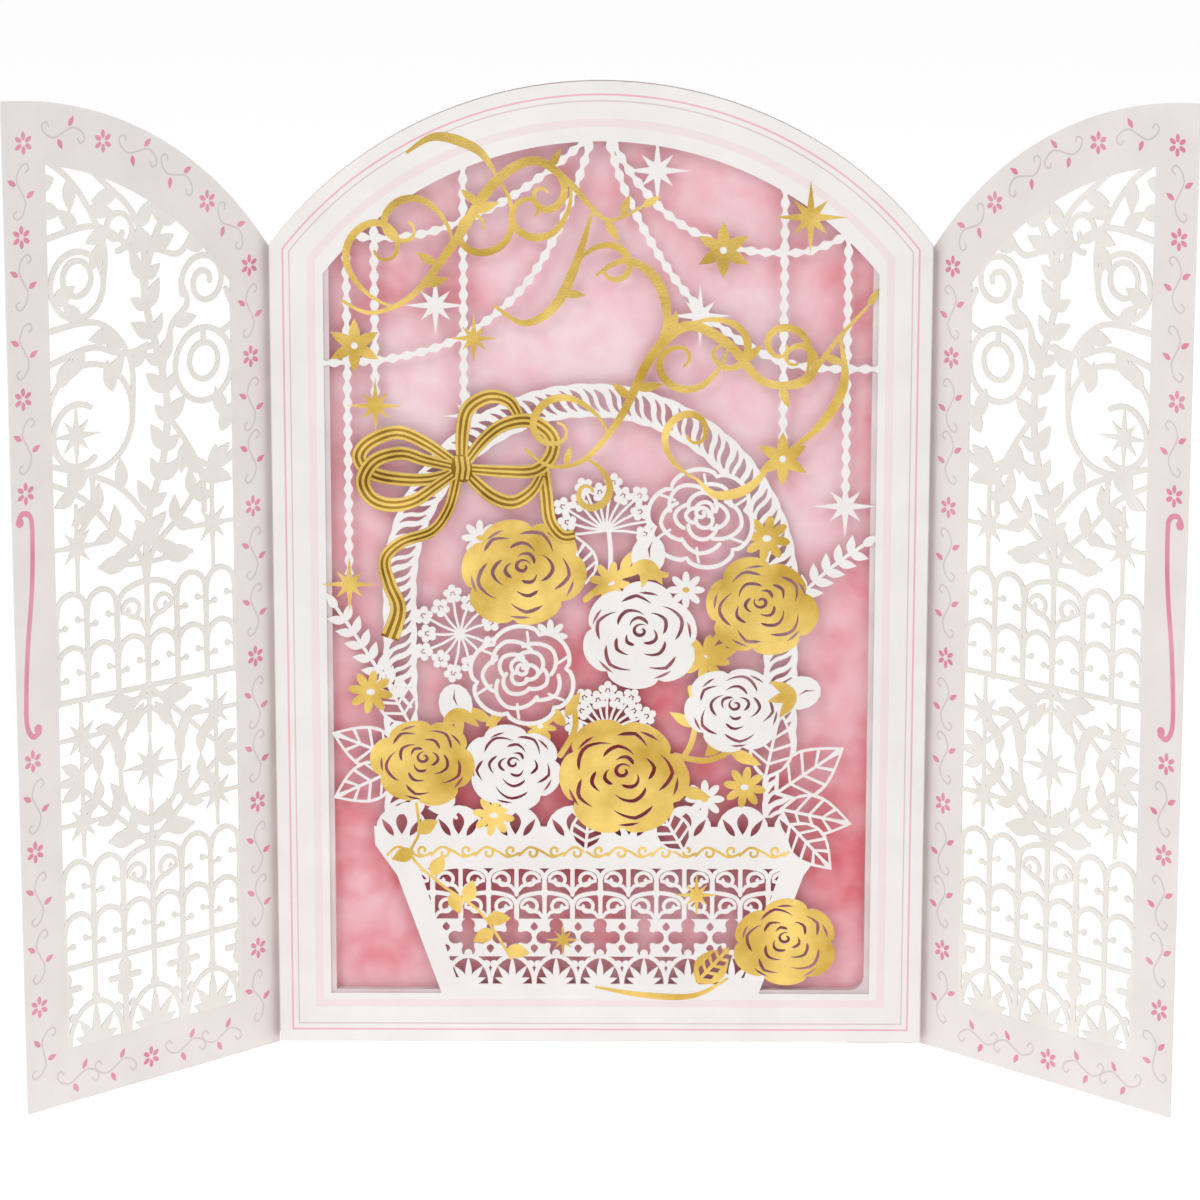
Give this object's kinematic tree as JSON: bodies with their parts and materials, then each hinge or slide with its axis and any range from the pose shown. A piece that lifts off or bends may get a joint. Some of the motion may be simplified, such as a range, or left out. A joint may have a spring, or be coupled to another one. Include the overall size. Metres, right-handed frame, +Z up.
{
  "type": "gate-fold greeting card",
  "caption": "Free-standing arched gate-fold card: lattice-cut doors open to a cut-out panel of a flower basket, garlands and stars over a pink back.",
  "frame": {"origin": "on the table, in the middle of the card's width and of its depth with the doors open", "axes": "+Z up; the card's picture faces -Y; +X is to the right as one looks at the picture"},
  "size_m": [0.2216, 0.047, 0.196],
  "materials": {
    "pink_card": "matte, printed pink on its front",
    "white_card": "matte white card",
    "foam_board": "matte white board",
    "pearl_card": "pearl white card with gold foil"
  },
  "bodies": {
    "root": {"back_panel": "pink_card", "left_door": "white_card", "right_door": "white_card", "spacer_frame": "foam_board", "cutout_panel": "pearl_card"}
  },
  "joints": []
}
